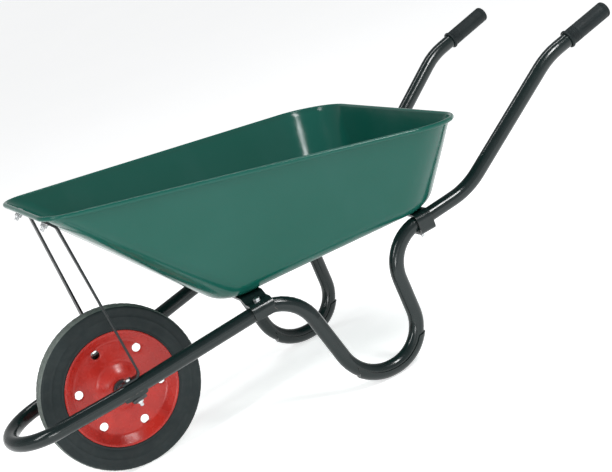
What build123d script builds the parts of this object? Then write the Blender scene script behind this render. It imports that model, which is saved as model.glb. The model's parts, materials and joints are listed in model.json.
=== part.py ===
"""Single-wheel garden wheelbarrow: pressed tray, one-piece tube frame and solid-tyred wheel.

Frame: +X runs from the wheel back to the handles, +Y to the barrow's right, +Z up. Stations along X are
counted from the wheel axle while the pieces are made. The last step moves every piece by -middle_x, so
the origin is on the ground, midway between the nose of the frame and the ends of the grips.
"""
from build123d import *
import math
import os

# ---------------------------------------------------------------- driving dimensions (mm)
tube_r = 16.0            # frame tube, outside radius
tube_wall = 2.0
tyre_r = 177.5           # the wheel stands on the ground, so this is the axle height
middle_x = 489.5         # station of the part's origin

# frame tube: corners of its centreline on one side, and the bend radius at each
rail_rise = 0.139        # slope of the plane that holds the nose and both rails
rail_z = 211.0           # height of the rails over the axle
rail_dip = 6.0           # how far the rails bow down under that plane where they cross the axle
bow_x = -17.0            # station where the straight parts of the bow would meet, and their depth there
bow_corner = 6.54
bow_radius = 2400.0
nose_x = -250.0
nose_half = 86.5         # half width where the rails' lines reach the nose
front_hump = (366.0, 201.0, rail_z + rail_rise * 366.0)
leg_front = (433.0, 222.0, 19.0)
leg_rear = (600.0, 222.0, 19.0)
rear_hump = (587.0, 219.5, 268.0)
handle_low = (804.0, 229.0, 298.0)
handle_high = (1072.0, 253.0, 490.0)
handle_end = (1238.0, 259.0, 532.6)
bends = [104.0, 88.0, 94.0, 86.0, 91.0, 163.0, 164.0]   # from the nose to the handles

# tray: a pressed pan between a rim outline and a floor outline
sheet = 1.5
wall_lean = 27.0         # mean lean of the walls from upright, degrees
rim_front_x = -42.0
rim_rear_x = 799.0
rim_half = 194.0         # half width of the rim's straight sides over the axle
rim_flare = 0.2222       # how fast they spread towards the back
rim_z = 597.0            # height of the rim over the axle
rim_fall = 0.1564        # how fast it falls towards the back
rim_corners = (60.0, 100.0)     # corner radii, front and rear
floor_front_x = 240.0
floor_rear_x = 741.0
floor_half = 122.0
floor_flare = 0.185
floor_z = 269.0
floor_rise = 0.047
floor_corners = (92.0, 92.0)
floor_bend = 54.0        # radius between the floor and the walls
bead_r = 5.0             # rolled rim
bead_slot = 2.0          # gap that the rolled edge leaves underneath

# cross bars under the tray
front_bar_x = 293.0
front_bar_width = 50.0
rear_bar_x = 680.0
rear_bar_width = 36.0
bar_t = 5.0
hook_drop = 5.0          # room between a tube and the hook below it
hook_back = 34.0         # how far the hook reaches back in under the tube
front_bolt_y = 122.0     # half spacing of the bolts through the floor
rear_bolt_y = 201.5
fit_gap = 0.3            # paint and spring-back between a strap and the tube it grips

# front stays
stay_width = 16.0
stay_t = 5.0
stay_top_y = 106.0
stay_bolt_down = 22.0    # distance of the upper bolt below the rim, along the front panel

# fasteners
bolt_r = 4.0             # M8
hex_flats = 13.0
head_h = 5.3
nut_h = 6.5
washer_r = 8.0
washer_t = 1.6
coach_r = 10.0
coach_h = 4.0
hole_play = 0.2          # radial play of a bolt in its hole
strap_bolt_length = 20.0
insert_r = 5.5           # threaded inserts in the rails
insert_length = 12.0
insert_sunk = 1.0
bolt_tail = 8.0          # length of bolt past its nut

# wheel, axle and bearings
axle_r = 10.0
running = 0.05           # radial clearance of the bushes on the axle
tongue_t = 7.0           # flattened ends of the axle
tongue_width = 32.0
saddle_length = 52.0
saddle_width = 28.0
hub_r = 20.0
hub_half = 24.0
bush_r = 15.0
bush_flange_r = 18.5
bush_flange_t = 3.0
collar_gap = 0.5
axle_collar_r = 16.0
axle_collar_t = 10.0
disc_t = 2.0
hole_circle_r = 90.0
hole_r = 10.0
hole_phase = -15.6       # angle of the first hole, from +X towards +Z
hole_count = 6
tyre_half = 20.0

# grips and foot shoes
grip_r = 18.5
grip_length = 116.0
grip_end_t = 4.0
grip_collar_r = 20.8
grip_collar_t = 6.0
shoe_t = 3.0
shoe_front_x = 428.0
shoe_rear_z = 58.0

SIDES = {"left": -1, "right": 1}
tilt = math.atan(rail_rise)
rail_up = (-math.sin(tilt), 0, math.cos(tilt))
axle_height = rail_z - rail_dip - tyre_r
axle_drop = axle_height * math.cos(tilt)           # from the rails' centrelines down to the axle
tongue_rise = axle_r - tongue_t / 2                # the axle's ends are pressed flat against its top
tongue_low = axle_drop - tongue_rise + tongue_t / 2     # from the centrelines down to their underside
bolt_station = -axle_height * math.sin(tilt) * math.cos(tilt)
axle = Axis((0, 0, tyre_r), (0, 1, 0))
BASE = (Align.CENTER, Align.CENTER, Align.MIN)
TOP = (Align.CENTER, Align.CENTER, Align.MAX)


# ---------------------------------------------------------------- small helpers
def mirrored(point, side):
    """A corner of the left or right half."""
    return Vector(point[0], side * point[1], point[2])


def hexagon(flats, height):
    """A hexagon with its corners turned down at both faces, standing on z = 0."""
    corners = flats / math.cos(math.pi / 6)
    bar = extrude(RegularPolygon(corners / 2, 6), height)
    blank = Cylinder(corners / 2, height, align=BASE)
    turned = chamfer(blank.edges().filter_by(GeomType.CIRCLE), 0.07 * flats, 0.12 * flats)
    return bar & turned


def nut(flats, height, bore):
    return hexagon(flats, height) - Cylinder(bore, 3 * height)


def washer(radius, thickness, bore):
    return extrude(Circle(radius) - Circle(bore), thickness)


def shank(radius, length):
    """A bolt's shank, from z = -length up to z = 0."""
    rod = Cylinder(radius, length, align=TOP)
    return chamfer(rod.edges().filter_by(GeomType.CIRCLE).sort_by(Axis.Z)[0], 0.8)


def hex_bolt(flats, head, radius, length):
    return hexagon(flats, head) + shank(radius, length)


def coach_bolt(radius, length):
    """A domed head on z = 0, over the shank."""
    dome_r = (coach_r ** 2 + coach_h ** 2) / (2 * coach_h)
    dome = Pos(0, 0, coach_h - dome_r) * Sphere(dome_r)
    return (dome & Cylinder(coach_r, coach_h, align=BASE)) + shank(radius, length)


def tilted(x, z, slope):
    """A plane across the barrow through (x, z), rising by slope towards the back."""
    angle = math.atan(slope)
    return Plane(origin=(x, 0, z), x_dir=(math.cos(angle), 0, math.sin(angle)),
                 z_dir=(-math.sin(angle), 0, math.cos(angle)))


def turned_profile(*points):
    """A solid turned about the axle, from (radius, y) corners."""
    flat = Plane(origin=(0, 0, tyre_r), x_dir=(1, 0, 0), z_dir=(0, 0, 1))
    return revolve(flat * Polygon(*points, align=None), axis=axle)


# ---------------------------------------------------------------- frame tube
def frame_path():
    """Centreline of the one-piece tube, from the left grip round the nose to the right grip."""
    nose = (nose_x, nose_half, rail_z + rail_rise * nose_x)
    along = (bow_x - nose_x) / (front_hump[0] - nose_x)
    bow = (bow_x, nose_half + along * (front_hump[1] - nose_half), rail_z + rail_rise * bow_x - bow_corner)
    half = [handle_end, handle_high, handle_low, rear_hump, leg_rear, leg_front, front_hump, bow, nose]
    points = [mirrored(p, -1) for p in half] + [mirrored(p, 1) for p in reversed(half)]
    radii = [bends[0], bow_radius] + bends[1:]
    return FilletPolyline(*points, radius=list(reversed(radii)) + radii)


def tube_along(route, section):
    return sweep(Plane(origin=route @ 0, z_dir=route % 0) * section, path=route)


def tube_centre(x, side):
    """Where the centreline of the upper runs crosses station x."""
    hits = PATH.intersect(Plane(origin=(x, 0, 0), z_dir=(1, 0, 0)))
    return Vector(max((v for v in hits if v.Y * side > 0), key=lambda v: v.Z))


PATH = frame_path()
TUBE_SOLID = tube_along(PATH, Circle(tube_r))


def rail_frame(side):
    """On a rail's centreline, over the axle: x along the rail, z square to both rails."""
    spread = (front_hump[1] - nose_half) / (front_hump[0] - nose_x)
    return Plane(origin=tube_centre(bolt_station, side), x_dir=(1, side * spread, rail_rise),
                 z_dir=rail_up)


def strap_bolt_frame(side):
    """Down through the tube at the front cross bar, square to the tray's floor."""
    return Plane(origin=tube_centre(front_bar_x, side), z_dir=bar_frame(front_bar_x).z_dir)


def build_frame_tube():
    tube = tube_along(PATH, Circle(tube_r) - Circle(tube_r - tube_wall))
    for side in SIDES.values():
        tube -= rail_frame(side) * Cylinder(bolt_r + hole_play, 4 * tube_r)
        tube -= strap_bolt_frame(side) * Cylinder(insert_r, 2 * tube_r, align=BASE)
    return tube


def build_grip(side):
    """A sleeve with a domed end and a collar, pushed over the end of a handle."""
    if side < 0:
        end = Plane(origin=PATH @ 0, z_dir=-(PATH % 0))
    else:
        end = Plane(origin=PATH @ 1, z_dir=PATH % 1)
    sleeve = Cylinder(grip_r, grip_length, align=TOP)
    sleeve = Pos(0, 0, grip_end_t) * fillet(sleeve.edges().filter_by(GeomType.CIRCLE).sort_by(Axis.Z)[-1], 7)
    collar = Cylinder(grip_collar_r, grip_collar_t, align=BASE)
    collar = fillet(collar.edges().filter_by(GeomType.CIRCLE), 1.6)
    sleeve += Pos(0, 0, grip_end_t - grip_length) * collar
    return end * (sleeve - Cylinder(tube_r, 2 * grip_length, align=TOP))


def build_foot_shoe(side):
    """A half-round wear sleeve on the outside of the leg loop, from the front bend to the rear leg."""
    y = side * leg_rear[1]
    front_slope = (front_hump[2] - leg_front[2]) / (front_hump[0] - leg_front[0])
    front_top = (leg_front[0] + 100 / front_slope, y, leg_front[2] + 100)
    rear_lean = (rear_hump[0] - leg_rear[0]) / (rear_hump[2] - leg_rear[2])
    rear_top = (leg_rear[0] + 110 * rear_lean, y, leg_rear[2] + 110)
    loop = FilletPolyline(front_top, (leg_front[0], y, leg_front[2]), (leg_rear[0], y, leg_rear[2]),
                          rear_top, radius=[bends[2], bends[3]])
    inside = extrude(make_face(loop.edges() + [Line(rear_top, front_top)]), 3 * tube_r, both=True)
    low = Pos(shoe_front_x, y, 0) * Box(300, 6 * tube_r, 2 * shoe_rear_z,
                                        align=(Align.MIN, Align.CENTER, Align.CENTER))
    return (tube_along(PATH, Circle(tube_r + shoe_t)) & low) - inside - TUBE_SOLID


# ---------------------------------------------------------------- tray
def rounded_quad(front_x, rear_x, front_half, rear_half, corners):
    """A trapezium in plan with round corners, narrower at the front."""
    outline = Polygon((front_x, -front_half), (rear_x, -rear_half), (rear_x, rear_half),
                      (front_x, front_half), align=None)
    outline = fillet(outline.vertices().sort_by(Axis.X)[:2], corners[0])
    return fillet(outline.vertices().sort_by(Axis.X)[-2:], corners[1])


def tray_outline(plane, slope, front_x, rear_x, half, flare, corners, inset):
    """A round-cornered trapezium lying on a tilted plane, drawn in by inset all round."""
    stretch = math.hypot(1, slope)
    radii = [radius - inset for radius in corners]
    plan = rounded_quad((front_x + inset) * stretch, (rear_x - inset) * stretch,
                        half + flare * front_x - inset, half + flare * rear_x - inset, radii)
    return plane * plan


def rim_outline(inset):
    return tray_outline(tilted(0, rim_z, -rim_fall), rim_fall, rim_front_x, rim_rear_x, rim_half,
                        rim_flare, rim_corners, inset)


def pan_block(lift, floor_inset, rim_inset, bend):
    """The solid between the floor and rim outlines, with its lower edges rounded."""
    floor = tray_outline(tilted(0, floor_z + lift, floor_rise), floor_rise, floor_front_x,
                         floor_rear_x, floor_half, floor_flare, floor_corners, floor_inset)
    block = loft([floor, rim_outline(rim_inset)], ruled=True)
    return fillet(block.faces().sort_by(Axis.Z)[0].edges(), bend)


def build_tray():
    lean = math.radians(wall_lean)
    rim_inset = sheet / math.cos(lean)
    floor_inset = rim_inset - sheet * math.tan(lean)
    pan = pan_block(0, 0, 0, floor_bend) - pan_block(sheet, floor_inset, rim_inset, floor_bend - sheet)
    # the rolled rim is a curl of the same sheet, open underneath
    curl = Circle(bead_r) - Circle(bead_r - sheet) - Pos(-bead_r, 0) * Rectangle(3 * sheet, bead_slot)
    route = rim_outline(sheet / 2 - bead_r).wire()
    tray = pan + sweep(Plane(origin=route @ 0, z_dir=route % 0, x_dir=(0, 0, 1)) * curl, path=route)
    for plane in bar_bolts(front_bar_x, front_bolt_y) + bar_bolts(rear_bar_x, rear_bolt_y):
        tray -= plane * Cylinder(bolt_r + hole_play, 20)
    for side in SIDES.values():
        tray -= stay_bolt_frame(side) * Cylinder(bolt_r + hole_play, 20)
    return tray


# ---------------------------------------------------------------- cross bars and their bolts
def bar_frame(x):
    """The underside of the tray's floor at station x, z square to the floor."""
    return tilted(x, floor_z + floor_rise * x, floor_rise)


def tube_in_bar(x, side):
    """The tube's centre, seen in the bar's own frame at station x."""
    return bar_frame(x).to_local_coords(tube_centre(x, side))


def bar_strip(x, width, corners, radii):
    """A strip bent along a line of (y, z) corners in the bar's frame."""
    route = bar_frame(x) * FilletPolyline(*[(0, y, z) for y, z in corners], radius=radii)
    section = Plane(origin=route @ 0, z_dir=route % 0, x_dir=bar_frame(x).x_dir)
    return sweep(section * Rectangle(width, bar_t), path=route)


CLEARANCE = tube_along(PATH, Circle(tube_r + fit_gap))


def build_front_cross_bar():
    """Flat under the floor, cranked down on to both rails and wrapped over their outer sides."""
    tube = tube_in_bar(front_bar_x, 1)
    top = tube.Z + tube_r + bar_t / 2
    outside = tube.Y + tube_r + bar_t / 2
    half = [(outside, tube.Z - 12), (outside, top), (tube.Y - 13, top), (tube.Y - 27, -bar_t / 2)]
    corners = [(-y, z) for y, z in half] + half[::-1]
    bar = bar_strip(front_bar_x, front_bar_width, corners, [tube_r, 10, 10, 10, 10, tube_r])
    bar -= CLEARANCE
    for plane in bar_bolts(front_bar_x, front_bolt_y):
        bar -= plane * Cylinder(bolt_r + hole_play, 6 * bar_t)
    for side in SIDES.values():
        bar -= strap_bolt_frame(side) * Cylinder(bolt_r + hole_play, 2 * tube_r, align=BASE)
    return bar


def build_rear_cross_bar():
    """Flat over both tubes, with its ends hooked round below them."""
    tube = tube_in_bar(rear_bar_x, 1)
    outside = tube.Y + tube_r + bar_t / 2
    below = tube.Z - tube_r - hook_drop - bar_t / 2
    half = [(tube.Y - hook_back, below), (outside, below), (outside, -bar_t / 2)]
    corners = [(-y, z) for y, z in half] + half[::-1]
    bar = bar_strip(rear_bar_x, rear_bar_width, corners, [9, 14, 14, 9])
    bar -= CLEARANCE
    for plane in bar_bolts(rear_bar_x, rear_bolt_y):
        bar -= plane * Cylinder(bolt_r + hole_play, 200)
    return bar


def bar_bolts(x, half_spacing):
    """The places of the two bolts that go down through the floor and a bar."""
    return [bar_frame(x) * Pos(0, side * half_spacing, 0) for side in SIDES.values()]


def hung_below(location, height, shape):
    """A nut or washer whose upper face is height under the floor's underside."""
    return location * Pos(0, 0, -height) * Rot(180, 0, 0) * shape


def floor_bolt_rows():
    """(places, depth of the lowest face that the bolts clamp) for each bar."""
    tube = tube_in_bar(rear_bar_x, 1)
    hook = -(tube.Z - tube_r - hook_drop - bar_t)
    return [(bar_bolts(front_bar_x, front_bolt_y), bar_t), (bar_bolts(rear_bar_x, rear_bolt_y), hook)]


def build_floor_bolts():
    bolts = []
    for places, depth in floor_bolt_rows():
        length = sheet + depth + washer_t + nut_h + bolt_tail
        bolts += [place * Pos(0, 0, sheet) * coach_bolt(bolt_r, length) for place in places]
    return bolts


def build_floor_washers():
    ring = washer(washer_r, washer_t, bolt_r + hole_play)
    return [hung_below(place, depth, ring) for places, depth in floor_bolt_rows() for place in places]


def build_floor_nuts():
    hexagon_nut = nut(hex_flats, nut_h, bolt_r)
    return [hung_below(place, depth + washer_t, hexagon_nut)
            for places, depth in floor_bolt_rows() for place in places]


def build_strap_bolts():
    """Hexagon bolts through the front bar's ends, into the inserts in the rails."""
    bolt = Pos(0, 0, tube_r + bar_t + washer_t) * hex_bolt(hex_flats, head_h, bolt_r, strap_bolt_length)
    return [strap_bolt_frame(side) * bolt for side in SIDES.values()]


def build_strap_washers():
    ring = Pos(0, 0, tube_r + bar_t) * washer(washer_r, washer_t, bolt_r + hole_play)
    return [strap_bolt_frame(side) * ring for side in SIDES.values()]


def build_strap_inserts():
    """Threaded sleeves closed on to the tube's wall."""
    sleeve = Cylinder(insert_r, insert_length, align=TOP) - Cylinder(bolt_r, 3 * insert_length)
    seat = Pos(0, 0, tube_r - insert_sunk)
    return [strap_bolt_frame(side) * seat * sleeve for side in SIDES.values()]


# ---------------------------------------------------------------- front stays
def panel_directions():
    """Down the outside of the tray's front panel, and straight out from it."""
    drop = (rim_z - rim_fall * rim_front_x) - (floor_z + floor_rise * floor_front_x)
    down = Vector(floor_front_x - rim_front_x, 0, -drop).normalized()
    return down, Vector(down.Z, 0, -down.X)


def panel_point(side, distance, proud):
    """On the front panel's outside, distance below the rim, lifted off it by proud."""
    down, out = panel_directions()
    edge = Vector(rim_front_x, side * stay_top_y, rim_z - rim_fall * rim_front_x)
    return edge + down * distance + out * proud


def stay_bolt_frame(side):
    """Through the front panel and the top of a stay: z points out of the tray."""
    down, out = panel_directions()
    return Plane(origin=panel_point(side, stay_bolt_down, 0), x_dir=(0, 1, 0), z_dir=out)


def build_front_stay(side):
    """A flat bar from the rail's top to the front panel, with a foot bent at each end."""
    if side > 0:
        return mirror(build_front_stay(-side), Plane.XZ)
    rail = rail_frame(side)
    foot_z = tube_r + stay_t / 2
    foot_end = rail.from_local_coords(Vector(-14, 0, foot_z))
    foot_bend = rail.from_local_coords(Vector(27, 0, foot_z))
    top_bend = panel_point(side, stay_bolt_down + 24, stay_t / 2)
    top_end = panel_point(side, stay_bolt_down - 14, stay_t / 2)
    route = FilletPolyline(foot_end, foot_bend, top_bend, top_end, radius=[12, 14])
    stations = [0.0]
    for edge in route.edges():
        steps = 1 if edge.geom_type == GeomType.LINE else 6
        stations += [stations[-1] + edge.length / steps * (k + 1) for k in range(steps)]
    across_rail = rail.y_dir
    height = top_bend.Z - foot_bend.Z
    sections = []
    for station in stations:
        t = min(station / route.length, 1)
        turn = min(max(((route @ t).Z - foot_bend.Z) / height, 0), 1)
        across = across_rail * (1 - turn) + Vector(0, 1, 0) * turn
        plane = Plane(origin=route @ t, x_dir=across, z_dir=route % t)
        sections.append(plane * RectangleRounded(stay_width, stay_t, 1))
    bar = loft(sections, ruled=True)
    bar -= rail * Cylinder(bolt_r + hole_play, 4 * tube_r)
    return bar - stay_bolt_frame(side) * Cylinder(bolt_r + hole_play, 4 * tube_r)


def build_stay_bolts():
    """Coach bolts, heads inside the tray."""
    length = sheet + stay_t + washer_t + nut_h + bolt_tail
    bolt = Pos(0, 0, -sheet) * Rot(180, 0, 0) * coach_bolt(bolt_r, length)
    return [stay_bolt_frame(side) * bolt for side in SIDES.values()]


def build_stay_washers():
    ring = Pos(0, 0, stay_t) * washer(washer_r, washer_t, bolt_r + hole_play)
    return [stay_bolt_frame(side) * ring for side in SIDES.values()]


def build_stay_nuts():
    fitted = Pos(0, 0, stay_t + washer_t) * nut(hex_flats, nut_h, bolt_r)
    return [stay_bolt_frame(side) * fitted for side in SIDES.values()]


# ---------------------------------------------------------------- axle and its fixings
def build_axle_saddle(side):
    """A round-cornered block between the rail's underside and the flattened end of the axle."""
    low = -tongue_low + tongue_t
    foot = 0.32 * saddle_length
    half = saddle_length / 2
    corner = -tube_r + 2
    steps = [math.radians(18 * k) for k in range(6)]
    rounding = [(foot + (half - foot) * math.cos(turn), corner + (low - corner) * math.sin(turn))
                for turn in steps]
    mirrored = [(-x, z) for x, z in reversed(rounding)]
    outline = Polygon((-half, -7), (half, -7), *rounding, *mirrored, align=None)
    rail = rail_frame(side)
    across = Plane(origin=(0, 0, 0), x_dir=(1, 0, 0), z_dir=(0, -1, 0))
    block = extrude(across * outline, saddle_width / 2, both=True)
    block -= Cylinder(bolt_r + hole_play, 200)
    return rail * block - TUBE_SOLID


def build_axle():
    """A round bar with its ends pressed flat and drilled."""
    seat = rail_frame(1)
    centre_y = seat.origin.Y
    slope = math.degrees(tilt)
    flat_start = centre_y - 0.5 * saddle_width - 6
    round_half = flat_start - 12
    flat_end = centre_y + 0.5 * saddle_width + 2
    bar = Rot(90, 0, 0) * Cylinder(axle_r, 2 * round_half)
    for side in SIDES.values():
        facing = Rot(-90 * side, 0, 0)
        tip = Pos(0, -side * tongue_rise) * RectangleRounded(tongue_width, tongue_t, 0.45 * tongue_t)
        neck = loft([facing * Pos(0, 0, round_half) * RectangleRounded(2 * axle_r, 2 * axle_r, 0.98 * axle_r),
                     facing * Pos(0, 0, flat_start) * tip], ruled=True)
        tongue = facing * Pos(0, 0, flat_start) * extrude(tip, flat_end - flat_start)
        bar += [neck, tongue]
    bar = Pos(0, 0, tyre_r) * Rot(0, -slope, 0) * bar
    for side in SIDES.values():
        bar -= rail_frame(side) * Cylinder(bolt_r + hole_play, 200)
    return bar


def build_axle_bolts():
    """Hexagon bolts down through the stays, rails, saddles and the axle's ends."""
    grip = tube_r + stay_t + tongue_low
    length = grip + washer_t + nut_h + bolt_tail
    bolt = Pos(0, 0, tube_r + stay_t) * hex_bolt(hex_flats, head_h, bolt_r, length)
    return [rail_frame(side) * bolt for side in SIDES.values()]


def build_axle_nuts():
    seat = tongue_low + washer_t
    return [hung_below(rail_frame(side), seat, nut(hex_flats, nut_h, bolt_r))
            for side in SIDES.values()]


def build_axle_washers():
    ring = washer(washer_r, washer_t, bolt_r + hole_play)
    return [hung_below(rail_frame(side), tongue_low, ring) for side in SIDES.values()]


def collar_face():
    """Distance of a collar's inner face from the wheel's middle."""
    return hub_half + bush_flange_t + collar_gap


def build_axle_collar(side):
    """A ring locked on the axle that keeps the wheel in the middle."""
    ring = turned_profile((axle_r, collar_face()), (axle_collar_r, collar_face()),
                          (axle_collar_r, collar_face() + axle_collar_t),
                          (axle_r, collar_face() + axle_collar_t))
    rims = ring.edges().filter_by(GeomType.CIRCLE).sort_by(SortBy.RADIUS)[-2:]
    ring = chamfer(rims, 0.8) - collar_screw_seat(1) * Cylinder(3, 20, align=BASE)
    return ring if side > 0 else mirror(ring, Plane.XZ)


def collar_screw_seat(side):
    """On the axle's surface below the axle, z pointing down out of the collar."""
    y = side * (collar_face() + axle_collar_t / 2)
    return Plane(origin=(0, y, tyre_r - axle_r), x_dir=(1, 0, 0), z_dir=(0, 0, -1))


def build_collar_screws():
    """Square-headed set screws."""
    screw = Cylinder(3, 6, align=BASE) + Pos(0, 0, 6) * Box(6, 6, 5, align=BASE)
    return [collar_screw_seat(side) * screw for side in SIDES.values()]


# ---------------------------------------------------------------- wheel
def build_tyre():
    """Solid rubber, its base wedged between the two discs."""
    half = [(103, 0.85), (122, 15.1), (124.8, 15.5), (125.4, 18), (150, 19.6), (169, tyre_half),
            (tyre_r - 0.4, 13)]
    points = half + [(tyre_r, 0)] + [(r, -y) for r, y in reversed(half)]
    tyre = turned_profile(*points)
    shoulders = [e for e in tyre.edges().filter_by(GeomType.CIRCLE) if abs(e.radius - 169) < 0.1]
    shoulders += [e for e in tyre.edges().filter_by(GeomType.CIRCLE)
                  if abs(e.radius - (tyre_r - 0.4)) < 0.01]
    return fillet(shoulders, 5)


def build_wheel_disc(side):
    """A pressed half wheel: hub dome, flat web with round holes, cone and rim flange."""
    inner = [(hub_r, -15.5), (30, -13), (44, -6.5), (54, -1.4), (60, 0), (101.8, 0), (122, -15.15),
             (124.5, -15.6)]
    outer = [(124.5, -17.6), (121, -17.3), (101, -disc_t), (59.6, -disc_t), (53, -3.3), (43, -8.4),
             (29.5, -15), (hub_r, -17.7)]
    disc = turned_profile(*(inner + outer))
    start = math.radians(hole_phase)
    for k in range(hole_count):
        angle = start + 2 * math.pi * k / hole_count
        x = hole_circle_r * math.cos(angle)
        z = tyre_r + hole_circle_r * math.sin(angle)
        disc -= Pos(x, 0, z) * Rot(90, 0, 0) * Cylinder(hole_r, 10)
    return disc if side < 0 else mirror(disc, Plane.XZ)


def build_hub_tube():
    return turned_profile((bush_r, -hub_half), (hub_r, -hub_half), (hub_r, hub_half),
                          (bush_r, hub_half))


def build_hub_bush(side):
    """A flanged plain bearing pressed into one end of the hub."""
    bore = axle_r + running
    face = hub_half + bush_flange_t
    bush = turned_profile((bore, 6), (bush_r, 6), (bush_r, hub_half), (bush_flange_r, hub_half),
                          (bush_flange_r, face), (bore, face))
    return bush if side > 0 else mirror(bush, Plane.XZ)


# ---------------------------------------------------------------- pieces and files
def all_pieces():
    pieces = {
        "frame_tube": build_frame_tube(),
        "tray": build_tray(),
        "front_cross_bar": build_front_cross_bar(),
        "rear_cross_bar": build_rear_cross_bar(),
        "floor_bolts": build_floor_bolts(),
        "floor_bolt_washers": build_floor_washers(),
        "floor_bolt_nuts": build_floor_nuts(),
        "strap_bolts": build_strap_bolts(),
        "strap_bolt_washers": build_strap_washers(),
        "strap_inserts": build_strap_inserts(),
        "stay_bolts": build_stay_bolts(),
        "stay_bolt_washers": build_stay_washers(),
        "stay_bolt_nuts": build_stay_nuts(),
        "axle": build_axle(),
        "axle_bolts": build_axle_bolts(),
        "axle_bolt_washers": build_axle_washers(),
        "axle_bolt_nuts": build_axle_nuts(),
        "collar_set_screws": build_collar_screws(),
        "tyre": build_tyre(),
        "hub_tube": build_hub_tube(),
    }
    for name, side in SIDES.items():
        pieces[name + "_grip"] = build_grip(side)
        pieces[name + "_foot_shoe"] = build_foot_shoe(side)
        pieces[name + "_front_stay"] = build_front_stay(side)
        pieces[name + "_axle_saddle"] = build_axle_saddle(side)
        pieces[name + "_axle_collar"] = build_axle_collar(side)
        pieces[name + "_wheel_disc"] = build_wheel_disc(side)
        pieces[name + "_hub_bush"] = build_hub_bush(side)
    return pieces


def main():
    os.makedirs("parts", exist_ok=True)
    move = Pos(-middle_x, 0, 0)
    low_x, high_x = [], []
    for name, shape in all_pieces().items():
        solids = [move * solid for group in (shape if isinstance(shape, list) else [shape])
                  for solid in group.solids()]
        node = solids[0] if len(solids) == 1 else Compound(children=solids)
        node.label = name
        export_step(node, os.path.join("parts", name + ".step"))
        box = node.bounding_box()
        low_x.append(box.min.X)
        high_x.append(box.max.X)
    middle = (max(high_x) + min(low_x)) / 2
    print("length", round(max(high_x) - min(low_x), 2), "middle", round(middle, 3))


main()
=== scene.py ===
"""Looks for the wheelbarrow: detailed pieces, materials, studio and camera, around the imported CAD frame.

Lengths are in millimetres until the last moment, where MM turns them into metres. Stations along X are
counted from the wheel's axle, as on a maker's drawing, and `at` moves them into the frame's own X.
"""
import bmesh
import bpy
import json
import math
from mathutils import Matrix, Vector, noise


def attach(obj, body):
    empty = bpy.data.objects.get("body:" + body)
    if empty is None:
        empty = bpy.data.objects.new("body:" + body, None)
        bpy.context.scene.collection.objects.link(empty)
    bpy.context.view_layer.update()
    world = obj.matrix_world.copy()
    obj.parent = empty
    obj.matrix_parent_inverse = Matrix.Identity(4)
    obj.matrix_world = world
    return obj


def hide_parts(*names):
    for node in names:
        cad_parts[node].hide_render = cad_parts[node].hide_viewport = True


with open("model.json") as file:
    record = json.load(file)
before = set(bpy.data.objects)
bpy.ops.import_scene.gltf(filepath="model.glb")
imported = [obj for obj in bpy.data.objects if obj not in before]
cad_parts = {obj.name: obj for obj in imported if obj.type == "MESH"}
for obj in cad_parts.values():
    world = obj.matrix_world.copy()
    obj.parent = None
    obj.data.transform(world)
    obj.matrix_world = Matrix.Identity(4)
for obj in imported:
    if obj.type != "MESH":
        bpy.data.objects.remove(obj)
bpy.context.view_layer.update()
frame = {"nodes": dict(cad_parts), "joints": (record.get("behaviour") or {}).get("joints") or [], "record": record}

MM = 0.001
SIDES = {"left": -1, "right": 1}
wheel_joint = next(joint for joint in frame["joints"] if joint["name"] == "wheel_spin")
AXLE = Vector(wheel_joint["pos_m"])
MOUNTS = {mount["name"]: mount for mount in frame["record"]["mounts"]}

# ---------------------------------------------------------------- driving dimensions (mm)
SHEET = 1.5              # tray sheet
# tray outlines: ends by station, half width at station 0 and its flare, height at station 0 and its slope
RIM = {"front": -42, "rear": 799, "half": 194, "flare": 0.2222, "z": 597, "rise": -0.1564,
       "corners": (60, 100)}
FLOOR = {"front": 240, "rear": 741, "half": 122, "flare": 0.185, "z": 269, "rise": 0.047,
         "corners": (92, 92)}
WALL_LEAN = math.radians(27)
FLOOR_BEND = 54          # radius between floor and walls
BEAD_R = 5               # rolled rim
BEAD_END = math.radians(-76)    # where the curl stops, from straight out

# points of the tray's mesh
CORNER_STEPS = 14
RUN_POINTS = (10, 34, 14, 34)       # along the front, left side, back and right side, between the corners
FLOOR_ROWS = 8
BEND_ROWS = 12
WALL_STEPS = 16
CURL_ROWS = 17

WAVE_DEPTH = 1.1         # how far the walls' sheet strays from its true surface
WAVE_SCALE = 0.006       # waves per millimetre
WAVE_RAMP_ROWS = 4       # rows over which the waves fade out
WAVE_SEED = 7

TYRE_R = 177.5
TYRE_TURN_STEPS = 432    # six to a block
LUGS = 72                # blocks round the tread
LUG_CUT_DEPTH = 0.9
LUG_CUT_SHARE = 0.17     # share of a block's length that its cut takes
RIB_R = 175.9            # the outer ribs' grooved floor, and the ribs' inner and outer edges
RIB_EDGES = (8.7, 13)
TREAD_FROM = 174.3       # radius at which the tread's rubber takes over from the wall's

DISC_T = 1.9
WEB_DEPTH = 2.0          # the flat web, below the flange's face
HOLES = 6
HOLE_CIRCLE = 90
HOLE_PHASE = -15.6       # angle of the first hole, from +X towards +Z
HOLE_TURN_STEPS = 24     # points of the disc's rings for each hole
HOLE_LIP = ((12.4, WEB_DEPTH), (11.3, 1.85), (10.6, 1.3), (10.3, 0.55))   # (radius, depth) of a hole's edge
PATCH_POINTS = 7         # points on each radial border between two holes
PATCH_SHARES = (0.33, 0.66)         # rings between a hole's edge and its patch's border

GRIP_R = 18.45
GRIP_BORE = 16.05
GRIP_BACK = 57.4         # from the grip's mount back to its collar, and on to its end
GRIP_FRONT = 58.4
GRIP_NECK_RINGS = 4
GRIP_GROOVE = 0.8        # depth of the neck's grooves
FLUTES = 24
FLUTE_DEPTH = 0.35
GRIP_TURN_STEPS = 96


def at(station, y, z):
    """A point given by its station, in the frame's metres."""
    return Vector((AXLE.x + station * MM, y * MM, z * MM))


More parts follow.
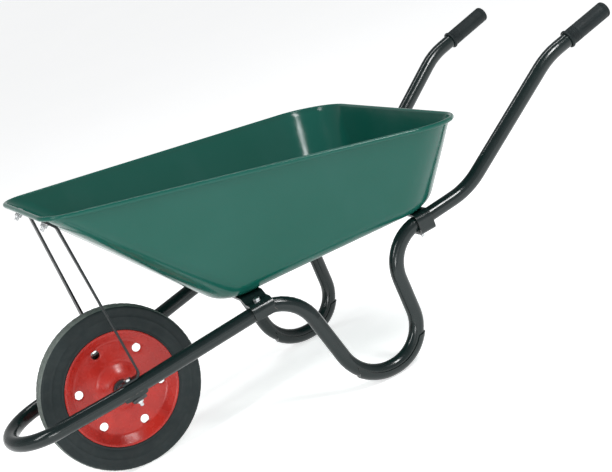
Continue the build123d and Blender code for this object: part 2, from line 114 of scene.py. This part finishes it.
# ---------------------------------------------------------------- materials
class Shader:
    """A Principled material with short names for the nodes that it needs."""

    def __init__(self, name, **sockets):
        self.material = bpy.data.materials.new(name)
        self.material.use_nodes = True
        self.nodes = self.material.node_tree.nodes
        self.bsdf = self.nodes["Principled BSDF"]
        for label, value in sockets.items():
            self.bsdf.inputs[label.replace("_", " ")].default_value = value
        self.place = self.nodes.new("ShaderNodeTexCoord").outputs["Object"]

    def link(self, source, socket):
        self.material.node_tree.links.new(source, socket)

    def noise(self, scale, detail=3.0, stretch=(1, 1, 1)):
        """Noise in the frame's own space: scale is in cells per metre."""
        mapping = self.nodes.new("ShaderNodeMapping")
        mapping.inputs["Scale"].default_value = stretch
        self.link(self.place, mapping.inputs["Vector"])
        texture = self.nodes.new("ShaderNodeTexNoise")
        texture.inputs["Scale"].default_value = scale
        texture.inputs["Detail"].default_value = detail
        self.link(mapping.outputs["Vector"], texture.inputs["Vector"])
        return texture.outputs["Fac"]

    def cells(self, scale):
        texture = self.nodes.new("ShaderNodeTexVoronoi")
        texture.inputs["Scale"].default_value = scale
        self.link(self.place, texture.inputs["Vector"])
        return texture.outputs["Distance"]

    def ramp(self, source, *stops):
        """(position, colour or grey) stops."""
        ramp = self.nodes.new("ShaderNodeValToRGB")
        elements = ramp.color_ramp.elements
        while len(elements) < len(stops):
            elements.new(0.5)
        for element, (position, colour) in zip(elements, stops):
            element.position = position
            grey = isinstance(colour, (int, float))
            element.color = (colour, colour, colour, 1) if grey else (*colour, 1)
        self.link(source, ramp.inputs["Fac"])
        return ramp.outputs["Color"]

    def blend(self, factor, low, high):
        """The output low where factor is 0, and the colour high where it is 1."""
        mix = self.nodes.new("ShaderNodeMix")
        mix.data_type = "RGBA"
        self.link(factor, mix.inputs["Factor"])
        self.link(low, mix.inputs["A"])
        mix.inputs["B"].default_value = (*high, 1)
        return mix.outputs["Result"]

    def edges(self, radius):
        """About 0 on flat ground and more on a sharp edge, within radius metres of it."""
        rounded = self.nodes.new("ShaderNodeBevel")
        rounded.samples = 4
        rounded.inputs["Radius"].default_value = radius
        geometry = self.nodes.new("ShaderNodeNewGeometry")
        dot = self.nodes.new("ShaderNodeVectorMath")
        dot.operation = "DOT_PRODUCT"
        self.link(rounded.outputs["Normal"], dot.inputs[0])
        self.link(geometry.outputs["Normal"], dot.inputs[1])
        turned = self.nodes.new("ShaderNodeMath")
        turned.operation = "SUBTRACT"
        turned.inputs[0].default_value = 1.0
        self.link(dot.outputs["Value"], turned.inputs[1])
        return turned.outputs["Value"]

    def product(self, a, b):
        times = self.nodes.new("ShaderNodeMath")
        times.operation = "MULTIPLY"
        self.link(a, times.inputs[0])
        self.link(b, times.inputs[1])
        return times.outputs["Value"]

    def bump(self, height, distance, strength=1.0, under=None):
        """Relief of a given height in metres. Under is another bump that this one lies on."""
        node = self.nodes.new("ShaderNodeBump")
        node.inputs["Strength"].default_value = strength
        node.inputs["Distance"].default_value = distance
        self.link(height, node.inputs["Height"])
        if under is not None:
            self.link(under, node.inputs["Normal"])
        return node.outputs["Normal"]

    def finish(self, colour=None, roughness=None, normal=None, metallic=None):
        for source, label in ((colour, "Base Color"), (roughness, "Roughness"), (normal, "Normal"),
                              (metallic, "Metallic")):
            if source is not None:
                self.link(source, self.bsdf.inputs[label])
        return self.material


def shade(colour, factor):
    return tuple(channel * factor for channel in colour)


def enamel(name, colour, roughness, peel, chips):
    """Stoved paint on steel: broad tone changes, orange peel, dust in the gloss, and chips on the edges."""
    s = Shader(name, Specular_IOR_Level=0.45)
    broad = s.noise(5, 2)
    fine = s.noise(70, 4)
    tone = s.ramp(broad, (0.3, shade(colour, 0.93)), (0.7, shade(colour, 1.06)))
    specks = s.ramp(s.noise(420, 2), (0.68, 0.0), (0.78, 0.16))
    paint = s.blend(specks, tone, shade(colour, 1.9))
    rough = s.ramp(fine, (0.3, roughness - 0.05), (0.7, roughness + 0.07))
    edge = s.ramp(s.product(s.edges(0.0012), s.ramp(s.noise(160, 5), (0.42, 0.0), (0.62, 1.0))),
                  (0.04, 0.0), (0.12, chips))
    paint = s.blend(edge, paint, (0.22, 0.20, 0.18))
    surface = s.bump(s.noise(260, 2), peel)
    surface = s.bump(fine, peel * 1.5, under=surface)
    return s.finish(paint, rough, surface, edge)


def tray_paint():
    """Green enamel with a soft gloss and faint handling marks."""
    green = (0.005, 0.088, 0.064)
    s = Shader("tray_enamel", Specular_IOR_Level=0.28)
    broad = s.noise(3.2, 3)
    tone = s.ramp(broad, (0.3, shade(green, 0.94)), (0.7, (0.010, 0.094, 0.072)))
    streak = s.ramp(s.noise(9, 5, stretch=(1.2, 1.2, 0.12)), (0.55, 0.0), (0.8, 0.22))
    marked = s.blend(streak, tone, (0.020, 0.105, 0.088))
    specks = s.ramp(s.noise(380, 2), (0.70, 0.0), (0.80, 0.25))
    marked = s.blend(specks, marked, shade(green, 1.8))
    rough = s.ramp(s.noise(38, 4), (0.3, 0.13), (0.7, 0.21))
    rough = s.blend(streak, rough, (0.46, 0.46, 0.46))
    surface = s.bump(s.noise(300, 2), 0.00006)
    surface = s.bump(s.noise(24, 2), 0.0005, strength=0.5, under=surface)
    return s.finish(marked, rough, surface)


def disc_paint():
    """Bright red enamel over a pressed disc."""
    red = (0.40, 0.016, 0.011)
    s = Shader("disc_enamel", Specular_IOR_Level=0.45)
    tone = s.ramp(s.noise(16, 3), (0.3, shade(red, 0.88)), (0.7, (0.48, 0.024, 0.015)))
    specks = s.ramp(s.noise(420, 2), (0.68, 0.0), (0.80, 0.3))
    tone = s.blend(specks, tone, (0.30, 0.018, 0.014))
    edge = s.ramp(s.product(s.edges(0.0010), s.ramp(s.noise(190, 5), (0.45, 0.0), (0.6, 1.0))),
                  (0.05, 0.0), (0.14, 0.5))
    tone = s.blend(edge, tone, (0.26, 0.10, 0.07))
    rough = s.ramp(s.noise(60, 4), (0.3, 0.20), (0.7, 0.34))
    surface = s.bump(s.noise(280, 2), 0.00008)
    surface = s.bump(s.noise(45, 3), 0.0003, strength=0.6, under=surface)
    return s.finish(tone, rough, surface)


def tyre_rubber():
    """Black rubber with a faint grey bloom, for the tyre's walls."""
    black = (0.010, 0.017, 0.018)
    s = Shader("tyre_rubber", Specular_IOR_Level=0.3)
    tone = s.ramp(s.noise(26, 4), (0.3, shade(black, 0.88)), (0.7, shade(black, 1.18)))
    bloom = s.ramp(s.noise(75, 5), (0.42, 0.0), (0.75, 0.30))
    tone = s.blend(bloom, tone, (0.032, 0.040, 0.039))
    rough = s.ramp(s.noise(52, 4), (0.3, 0.48), (0.7, 0.64))
    surface = s.bump(s.noise(700, 3), 0.00012)
    surface = s.bump(s.noise(110, 3), 0.00025, under=surface)
    return s.finish(tone, rough, surface)


def tread_rubber():
    """The tread's skin: greyer and rougher than the walls."""
    grey = (0.125, 0.150, 0.138)
    s = Shader("tread_rubber", IOR=1.5)
    tone = s.ramp(s.noise(60, 5), (0.3, shade(grey, 0.72)), (0.7, shade(grey, 1.22)))
    dust = s.ramp(s.noise(240, 4), (0.45, 0.0), (0.75, 0.5))
    tone = s.blend(dust, tone, (0.205, 0.220, 0.195))
    rough = s.ramp(s.noise(90, 4), (0.3, 0.62), (0.7, 0.85))
    surface = s.bump(s.noise(620, 4), 0.00035)
    return s.finish(tone, rough, surface)


def grip_vinyl():
    """Dipped black vinyl with a fine pebbled skin."""
    black = (0.007, 0.012, 0.013)
    s = Shader("grip_vinyl", Specular_IOR_Level=0.25)
    tone = s.ramp(s.noise(45, 4), (0.3, shade(black, 0.85)), (0.7, shade(black, 1.25)))
    shine = s.ramp(s.noise(30, 3), (0.3, 0.42), (0.7, 0.58))
    surface = s.bump(s.cells(900), 0.00018)
    surface = s.bump(s.noise(90, 3), 0.0003, strength=0.6, under=surface)
    return s.finish(tone, shine, surface)


def zinc():
    """Bright zinc plate: patchy grey, dulled in spots."""
    s = Shader("zinc_plate", Metallic=1.0)
    tone = s.ramp(s.noise(180, 4), (0.3, (0.46, 0.48, 0.50)), (0.7, (0.72, 0.73, 0.73)))
    spots = s.ramp(s.noise(620, 3), (0.62, 0.0), (0.74, 0.6))
    tone = s.blend(spots, tone, (0.30, 0.29, 0.27))
    rough = s.ramp(s.noise(320, 4), (0.3, 0.24), (0.7, 0.44))
    return s.finish(tone, rough, s.bump(s.noise(900, 3), 0.00008))


def bare_steel():
    """Blackened drawn bar, with drawing lines along Y."""
    s = Shader("drawn_steel", Metallic=1.0)
    lines = s.noise(120, 5, stretch=(1, 0.06, 1))
    tone = s.ramp(lines, (0.3, (0.045, 0.047, 0.050)), (0.7, (0.10, 0.10, 0.10)))
    rough = s.ramp(s.noise(240, 4, stretch=(1, 0.05, 1)), (0.3, 0.26), (0.7, 0.46))
    return s.finish(tone, rough, s.bump(s.noise(600, 2, stretch=(1, 0.04, 1)), 0.0001))


def bush_nylon():
    """Moulded nylon."""
    black = (0.030, 0.036, 0.038)
    s = Shader("bush_nylon", IOR=1.53)
    tone = s.ramp(s.noise(140, 4), (0.3, shade(black, 0.85)), (0.7, shade(black, 1.3)))
    rough = s.ramp(s.noise(200, 3), (0.3, 0.34), (0.7, 0.5))
    return s.finish(tone, rough, s.bump(s.noise(800, 3), 0.0001))


def floor_paint():
    """Pale studio floor with a faint tone change."""
    s = Shader("studio_floor", Emission_Color=(1, 1, 1, 1), Emission_Strength=0.62, Specular_IOR_Level=0.1)
    tone = s.ramp(s.noise(1.3, 2), (0.3, (0.86, 0.87, 0.87)), (0.7, (0.89, 0.895, 0.895)))
    return s.finish(tone, s.ramp(s.noise(3, 2), (0.3, 0.75), (0.7, 0.85)))


FINISHES = {
    "tray_paint": tray_paint(),
    "frame_paint": enamel("frame_enamel", (0.006, 0.013, 0.013), 0.16, 0.00005, chips=0.5),
    "stay_paint": enamel("stay_enamel", (0.005, 0.009, 0.010), 0.34, 0.00007, chips=0.4),
    "disc_paint": disc_paint(),
    "tyre_rubber": tyre_rubber(),
    "grip_vinyl": grip_vinyl(),
    "zinc_plated_steel": zinc(),
    "axle_steel": bare_steel(),
    "hub_steel": enamel("hub_enamel", (0.050, 0.056, 0.060), 0.34, 0.00006, chips=0.6),
    "bush_nylon": bush_nylon(),
}


def paint_cad_nodes():
    """Every node of the frame gets the finish of its slot."""
    for subpart in frame["record"]["subparts"]:
        mesh = frame["nodes"][subpart["node"]].data
        mesh.materials.clear()
        mesh.materials.append(FINISHES[subpart["material_slot"]])


# ---------------------------------------------------------------- mesh helpers
def piece(name, mesh, body, slot, *stands_for):
    """Links a finished mesh as a piece of the object."""
    item = bpy.data.objects.new(name, mesh)
    bpy.context.scene.collection.objects.link(item)
    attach(item, body)
    if stands_for:
        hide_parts(*stands_for)
    return item


def sheet_of_quads(name, rows, material, closed_columns=False):
    """A smooth mesh through rows of points that join end to end. Closed columns join last row to first."""
    mesh = bpy.data.meshes.new(name)
    width = len(rows[0])
    faces = []
    for i in range(len(rows) if closed_columns else len(rows) - 1):
        upper = (i + 1) % len(rows)
        for k in range(width):
            after = (k + 1) % width
            faces.append((i * width + k, i * width + after, upper * width + after, upper * width + k))
    mesh.from_pydata([point for row in rows for point in row], [], faces)
    mesh.materials.append(material)
    mesh.shade_smooth()
    tidy = bmesh.new()
    tidy.from_mesh(mesh)
    bmesh.ops.remove_doubles(tidy, verts=tidy.verts, dist=1e-6)
    bmesh.ops.recalc_face_normals(tidy, faces=tidy.faces)
    tidy.to_mesh(mesh)
    tidy.free()
    return mesh


# ---------------------------------------------------------------- tray
def corner_arc(before, corner, after, radius, steps):
    """Points of the arc that rounds a plan corner."""
    arrive = (corner - before).normalized()
    leave = (after - corner).normalized()
    turn = arrive.angle(leave)
    setback = radius * math.tan(turn / 2)
    start = corner - arrive * setback
    inward = (leave - arrive).normalized()
    centre = corner + inward * math.hypot(radius, setback)
    spoke = start - centre
    side = 1 if arrive.x * leave.y - arrive.y * leave.x > 0 else -1
    return [centre + Matrix.Rotation(side * turn * k / steps, 2) @ spoke for k in range(steps + 1)]


def outline(edge, inset, lift):
    """A tray outline drawn in by inset: (point, inward direction) pairs all round, in millimetres."""
    stretch = math.hypot(1, edge["rise"])
    front = (edge["front"] + inset) * stretch
    rear = (edge["rear"] - inset) * stretch
    half_front = edge["half"] + edge["flare"] * edge["front"] - inset
    half_rear = edge["half"] + edge["flare"] * edge["rear"] - inset
    corners = [Vector((front, half_front)), Vector((front, -half_front)), Vector((rear, -half_rear)),
               Vector((rear, half_rear))]
    radii = [edge["corners"][0]] * 2 + [edge["corners"][1]] * 2
    plan = []
    arcs = [corner_arc(corners[k - 1], corners[k], corners[(k + 1) % 4], radii[k] - inset, CORNER_STEPS)
            for k in range(4)]
    for k in range(4):
        start, end = arcs[k][-1], arcs[(k + 1) % 4][0]
        plan += arcs[k]
        plan += [start.lerp(end, (j + 1) / (RUN_POINTS[k] + 1)) for j in range(RUN_POINTS[k])]
    centre = Vector(((front + rear) / 2, 0))
    slope = Vector((1, 0, edge["rise"])).normalized()
    result = []
    for k, point in enumerate(plan):
        tangent = plan[(k + 1) % len(plan)] - plan[k - 1]
        inward = Vector((-tangent.y, tangent.x)).normalized()
        if inward.dot(centre - point) < 0:
            inward = -inward
        place = slope * point.x + Vector((0, point.y, edge["z"] + lift))
        result.append((place, (slope * inward.x + Vector((0, inward.y, 0))).normalized()))
    return result


def tray_rows():
    """Rows of the tray's middle surface, from the floor's centre out to the end of the rolled rim."""
    rim_inset = 0.5 * SHEET / math.cos(WALL_LEAN)
    floor_inset = rim_inset - 0.5 * SHEET * math.tan(WALL_LEAN)
    floor = outline(FLOOR, floor_inset, 0.5 * SHEET)
    rim = outline(RIM, rim_inset, 0)
    bend = FLOOR_BEND - 0.5 * SHEET
    rim_up = Vector((-RIM["rise"], 0, 1)).normalized()
    centre = sum((place for place, _ in floor), Vector()) / len(floor)
    columns = []
    for (low, inward), (high, rim_inward) in zip(floor, rim):
        wall = (high - low).normalized()
        angle = inward.angle(wall)
        setback = bend / math.tan(angle / 2)
        weight = math.sin(angle / 2)
        start, end = low + inward * setback, low + wall * setback
        column = [centre.lerp(start, k / (FLOOR_ROWS - 1)) for k in range(FLOOR_ROWS)]
        for k in range(1, BEND_ROWS + 1):
            t = k / BEND_ROWS
            a, b, c = (1 - t) ** 2, 2 * t * (1 - t) * weight, t * t
            column.append((start * a + low * b + end * c) / (a + b + c))
        column += [end.lerp(high, k / WALL_STEPS) for k in range(1, WALL_STEPS)]
        curl_r = BEAD_R - 0.5 * SHEET
        curl_centre = high - rim_inward * curl_r
        for k in range(CURL_ROWS):
            turn = math.pi + (BEAD_END - math.pi) * k / (CURL_ROWS - 1)
            column.append(curl_centre - rim_inward * curl_r * math.cos(turn)
                          + rim_up * curl_r * math.sin(turn))
        columns.append(column)
    return [[column[i] for column in columns] for i in range(len(columns[0]))]


def handled(point, depth):
    """A point of sheet metal moved by up to depth, in waves about 170 mm long."""
    wave = noise.noise_vector(point * WAVE_SCALE)
    return point + wave * depth


def build_tray():
    rows = tray_rows()
    # only the walls wave: the floor stays flat and the rim true
    noise.seed_set(WAVE_SEED)
    walls = range(FLOOR_ROWS + BEND_ROWS, len(rows) - CURL_ROWS - 1)
    for i in walls:
        ramp_in = min(1, (i - walls.start) / WAVE_RAMP_ROWS, (walls.stop - 1 - i) / WAVE_RAMP_ROWS)
        rows[i] = [handled(point, WAVE_DEPTH * ramp_in) for point in rows[i]]
    placed = [[at(*point) for point in row] for row in rows]
    mesh = sheet_of_quads("tray_shell", placed, FINISHES["tray_paint"])
    shell = piece("tray_shell", mesh, "barrow", "tray_paint", "tray")
    thick = shell.modifiers.new("sheet", "SOLIDIFY")
    thick.thickness = SHEET * MM
    thick.offset = 0
    return shell


# ---------------------------------------------------------------- pieces turned about the axle
def ring_about_axle(name, profile, steps, material, relief):
    """A closed ring from (radius, y) corners. Relief gives a height over each corner for an angle."""
    rows = []
    for k in range(steps):
        angle = 2 * math.pi * k / steps
        row = []
        for radius, y in profile:
            r = radius + relief(radius, y, angle)
            row.append(at(r * math.cos(angle), y, TYRE_R + r * math.sin(angle)))
        rows.append(row)
    return sheet_of_quads(name, rows, material, closed_columns=True)


def arc_profile(centre, radius, start, end, steps):
    """Corners of a profile round a bend, angles in degrees from straight out."""
    angles = [math.radians(start + (end - start) * k / steps) for k in range(steps + 1)]
    return [(centre[0] + radius * math.cos(a), centre[1] + radius * math.sin(a)) for a in angles]


def tyre_profile():
    """One side of the tyre, from its base over the bead, the wall and the shoulder to the tread's middle."""
    half = [(103, 0.9), (112, 7.9), (121.6, 14.9), (124.2, 15.5)]
    half += [(125.3, 16.4), (125.5, 17.6), (126.6, 18.35), (128.4, 18.45)]
    half += [(129.2, 17.9), (131, 17.9), (131.8, 18.5)]              # groove beside the disc's flange
    half += [(138, 19.0), (146, 19.4), (151, 19.55)]
    half += [(151.7, 19.95), (153.3, 19.95), (154, 19.6)]            # moulded line round the wall
    half += [(160, 19.6), (165.5, 19.6)]
    half += arc_profile((169.6, 13.2), 6.3, 90, 15, 7)
    return half


def tread_profile():
    """One side of the tread, from the shoulder to the middle, with two grooves."""
    half = [(176.2, 13.6), (176.9, 12.4), (177.15, 10.4)]
    half += [(177.1, 8.7), (175.9, 8.2), (175.9, 6.8), (177.2, 6.3)]
    half += [(177.4, 4), (177.45, 2.2), (176.3, 1.7), (176.2, 0)]
    return half


def tread_relief(radius, y, angle):
    """Shallow cuts across the tread's outer ribs, staggered from side to side."""
    if radius < RIB_R or not RIB_EDGES[0] < abs(y) < RIB_EDGES[1]:
        return 0
    phase = (angle * LUGS / (2 * math.pi) + (0.5 if y > 0 else 0)) % 1
    return -LUG_CUT_DEPTH if phase < LUG_CUT_SHARE else 0


def build_tyre():
    half = tyre_profile() + tread_profile()
    profile = half + [(r, -y) for r, y in reversed(half) if y > 0]
    mesh = ring_about_axle("tyre_ring", profile, TYRE_TURN_STEPS, FINISHES["tyre_rubber"], tread_relief)
    mesh.materials.append(tread_rubber())
    for face in mesh.polygons:
        centre = face.center - Vector((AXLE.x, 0, AXLE.z))
        radius = math.hypot(centre.x, centre.z) / MM
        if radius > TREAD_FROM:
            face.material_index = 1
    return piece("tyre_ring", mesh, "wheel", "tyre_rubber", "tyre")


# ---------------------------------------------------------------- wheel discs
def disc_profile():
    """The pressing's outer face from the hub to its flange, as (radius, depth below the flange's face)."""
    dome = [(20.0, 17.6), (21.2, 18.3), (23.5, 18.2), (27, 17.3), (32, 15.4), (37, 12.7), (42, 9.5)]
    dome += [(46.5, 6.4), (50.5, 3.9), (54, 2.4), (57, 1.95), (60, 2.3), (63, 2.0)]
    web = [(66, WEB_DEPTH), (72, WEB_DEPTH)]
    cone = [(99.5, WEB_DEPTH), (102, 2.6), (105, 4.6), (110, 8.4), (115, 12.1), (118.5, 14.9), (120.5, 16.6)]
    cone += [(122, 17.35), (123.6, 17.45), (124.4, 17.0)]
    return dome, web, cone


def build_disc(side_name):
    """One half of the wheel: a thin pressing with six round holes whose edges are turned in."""
    side = SIDES[side_name]
    dome, web, cone = disc_profile()
    steps = HOLES * HOLE_TURN_STEPS
    phase = math.radians(HOLE_PHASE) - math.pi / HOLES
    mesh = bpy.data.meshes.new(side_name + "_disc_pressing")
    build = bmesh.new()

    def vertex(radius, angle, depth):
        place = at(radius * math.cos(angle), side * depth, TYRE_R + radius * math.sin(angle))
        return build.verts.new(place)

    def ring(radius, depth):
        return [vertex(radius, phase + 2 * math.pi * k / steps, depth) for k in range(steps)]

    def stitch(inner, outer):
        for k in range(len(inner)):
            after = (k + 1) % len(inner)
            build.faces.new((inner[k], inner[after], outer[after], outer[k]))

    inner = [ring(radius, depth) for radius, depth in dome + web]
    outer = [ring(radius, depth) for radius, depth in cone]
    for rows in (inner, outer):
        for a, b in zip(rows, rows[1:]):
            stitch(a, b)
    # the flat web between them: one patch round each hole, from the hole's edge out to the patch's border
    for hole in range(HOLES):
        middle = phase + 2 * math.pi * (hole + 0.5) / HOLES
        centre = Vector((HOLE_CIRCLE * math.cos(middle), HOLE_CIRCLE * math.sin(middle)))
        first = hole * HOLE_TURN_STEPS
        span = range(first, first + HOLE_TURN_STEPS + 1)
        low = [inner[-1][k % steps] for k in span]
        high = [outer[0][k % steps] for k in span]
        left, right = sides_of_patch(build, low, high)
        border = low + right + high[::-1] + left[::-1]
        flat = [Vector(((v.co.x - AXLE.x) / MM, (v.co.z - AXLE.z) / MM)) for v in border]
        angles = [math.atan2(p.y - centre.y, p.x - centre.x) for p in flat]
        rings = []
        for radius, depth in HOLE_LIP:
            rings.append([build.verts.new(at(centre.x + radius * math.cos(a), side * depth,
                                             TYRE_R + centre.y + radius * math.sin(a))) for a in angles])
        between = []
        for share in PATCH_SHARES:
            row = []
            for p, a in zip(flat, angles):
                edge = centre + Vector((math.cos(a), math.sin(a))) * HOLE_LIP[0][0]
                point = edge.lerp(p, share)
                row.append(build.verts.new(at(point.x, side * WEB_DEPTH, TYRE_R + point.y)))
            between.append(row)
        for a, b in zip([border] + between[::-1] + rings, between[::-1] + rings):
            stitch(a, b)
    bmesh.ops.remove_doubles(build, verts=build.verts, dist=1e-6)
    bmesh.ops.recalc_face_normals(build, faces=build.faces)
    build.to_mesh(mesh)
    build.free()
    mesh.materials.append(FINISHES["disc_paint"])
    mesh.shade_smooth()
    item = piece(mesh.name, mesh, "wheel", "disc_paint", side_name + "_wheel_disc")
    thick = item.modifiers.new("sheet", "SOLIDIFY")
    thick.thickness = DISC_T * MM
    thick.offset = 0
    return item


def sides_of_patch(build, low, high):
    """The two radial borders of a patch, with points of their own between the inner and outer rings."""
    shares = [(k + 1) / (PATCH_POINTS + 1) for k in range(PATCH_POINTS)]
    return [[build.verts.new(start.co.lerp(end.co, share)) for share in shares]
            for start, end in ((low[0], high[0]), (low[-1], high[-1]))]


# ---------------------------------------------------------------- grips
def build_grip(side_name):
    """A moulded sleeve: rolled collar, ringed neck, fluted body and a rounded end."""
    mount = MOUNTS[side_name + "_grip"]
    origin, along = Vector(mount["pos_m"]), Vector(mount["axis"]).normalized()
    across = along.cross(Vector((0, 0, 1))).normalized()
    lift = across.cross(along)
    back, front = -GRIP_BACK, GRIP_FRONT
    profile = [(back + 0.6, GRIP_BORE), (back, GRIP_BORE + 0.7), (back, 19.6)]
    profile += [(back + 0.5, 20.4), (back + 1.7, 20.75), (back + 4.3, 20.75), (back + 5.4, 20.3)]
    profile += [(back + 6, 19.5), (back + 6.6, 18.7), (back + 8, GRIP_R)]
    groove = GRIP_R - GRIP_GROOVE
    for k in range(GRIP_NECK_RINGS):
        neck = back + 10.5 + 4.2 * k
        profile += [(neck, GRIP_R), (neck + 0.6, groove), (neck + 1.4, groove), (neck + 2.0, GRIP_R)]
    body_start, body_end = back + 30, front - 15
    profile += [(body_start + (body_end - body_start) * k / 12, GRIP_R) for k in range(13)]
    profile += [(front - 10.5, GRIP_R), (front - 9.8, GRIP_R - 0.7), (front - 8.8, GRIP_R - 0.7),
                (front - 8.2, GRIP_R)]
    profile += arc_profile((front - 7.2, GRIP_R - 6.4), 6.4, 90, 8, 8)
    profile += [(front - 0.5, 9), (front, 5), (front, 0.02)]
    profile += [(front - 3.4, 0.02), (front - 3.9, 12), (front - 4.2, GRIP_BORE)]
    rows = []
    for k in range(GRIP_TURN_STEPS):
        angle = 2 * math.pi * k / GRIP_TURN_STEPS
        spoke = across * math.cos(angle) + lift * math.sin(angle)
        row = []
        for s, r in profile:
            fluted = body_start < s < body_end
            r -= FLUTE_DEPTH * (0.5 - 0.5 * math.cos(FLUTES * angle)) if fluted else 0
            row.append(origin + (along * s + spoke * r) * MM)
        rows.append(row)
    mesh = sheet_of_quads(side_name + "_grip_sleeve", rows, FINISHES["grip_vinyl"], closed_columns=True)
    return piece(side_name + "_grip_sleeve", mesh, "barrow", "grip_vinyl", side_name + "_grip")


# ---------------------------------------------------------------- studio and camera
def soft_box(name, place, target, width, height, power):
    lamp = bpy.data.lights.new(name, "AREA")
    lamp.shape = "RECTANGLE"
    lamp.size, lamp.size_y = width, height
    lamp.energy = power
    holder = bpy.data.objects.new(name, lamp)
    holder.location = place
    holder.rotation_mode = "QUATERNION"
    holder.rotation_quaternion = (Vector(target) - Vector(place)).to_track_quat("-Z", "Y")
    bpy.context.scene.collection.objects.link(holder)


WORLD_STRENGTH = 0.72
FLOOR_REACH = 30         # metres


def build_studio():
    mesh = bpy.data.meshes.new("studio_floor")
    corners = [(x * FLOOR_REACH, y * FLOOR_REACH, 0) for x, y in ((-1, -1), (1, -1), (1, 1), (-1, 1))]
    mesh.from_pydata(corners, [], [(0, 1, 2, 3)])
    mesh.materials.append(floor_paint())
    ground = bpy.data.objects.new("studio_floor", mesh)
    bpy.context.scene.collection.objects.link(ground)
    world = bpy.data.worlds.new("studio")
    world.use_nodes = True
    nodes, links = world.node_tree.nodes, world.node_tree.links
    direction = nodes.new("ShaderNodeTexCoord").outputs["Generated"]
    split = nodes.new("ShaderNodeSeparateXYZ")
    ramp = nodes.new("ShaderNodeValToRGB")
    low, high = ramp.color_ramp.elements
    low.position, low.color = 0.05, (1, 1, 1, 1)
    high.position, high.color = 0.75, (0.30, 0.31, 0.32, 1)
    links.new(direction, split.inputs["Vector"])
    links.new(split.outputs["Z"], ramp.inputs["Fac"])
    links.new(ramp.outputs["Color"], nodes["Background"].inputs["Color"])
    nodes["Background"].inputs["Strength"].default_value = WORLD_STRENGTH
    bpy.context.scene.world = world
    soft_box("left_box", (-2.35, -0.60, 2.05), (0, 0, 0.4), 0.36, 1.5, 22)
    soft_box("front_box", (-1.6, -3.6, 1.0), (0, 0, 0.3), 1.8, 1.2, 5)
    soft_box("low_left_box", (-2.2, -2.6, 0.60), (-0.5, 0, 0.2), 0.75, 0.60, 15)
    soft_box("high_front_box", (0.73, -1.9, 2.4), (0.2, 0.3, 0.45), 0.48, 0.9, 38)
    soft_box("overhead", (0.3, 0.6, 3.2), (0, 0, 0.3), 2.6, 0.26, 30)


CAMERA_PLACE = (-1.0994, -3.0845, 1.1879)
CAMERA_YAW = math.radians(19.934)       # turned from +Y towards +X
CAMERA_PITCH = math.radians(15.222)     # looking down
CAMERA_ROLL = math.radians(-20.710)
CAMERA_LENS = 91.24
CAMERA_SENSOR = 36


def build_camera():
    """Stands where the reference view was taken from, and tilts with it."""
    data = bpy.data.cameras.new("view")
    data.lens = CAMERA_LENS
    data.sensor_width = CAMERA_SENSOR
    camera = bpy.data.objects.new("view", data)
    level = math.cos(CAMERA_PITCH)
    forward = Vector((math.sin(CAMERA_YAW) * level, math.cos(CAMERA_YAW) * level, -math.sin(CAMERA_PITCH)))
    right = Vector((math.cos(CAMERA_YAW), -math.sin(CAMERA_YAW), 0))
    up = right.cross(forward)
    turn_cos, turn_sin = math.cos(CAMERA_ROLL), math.sin(CAMERA_ROLL)
    axes = (right * turn_cos + up * turn_sin, up * turn_cos - right * turn_sin, -forward)
    camera.matrix_world = Matrix.Translation(CAMERA_PLACE) @ Matrix(axes).transposed().to_4x4()
    bpy.context.scene.collection.objects.link(camera)
    bpy.context.scene.camera = camera


paint_cad_nodes()
build_tray()
build_tyre()
for side in SIDES:
    build_disc(side)
    build_grip(side)
build_studio()
build_camera()
bpy.context.scene.view_settings.view_transform = "Standard"
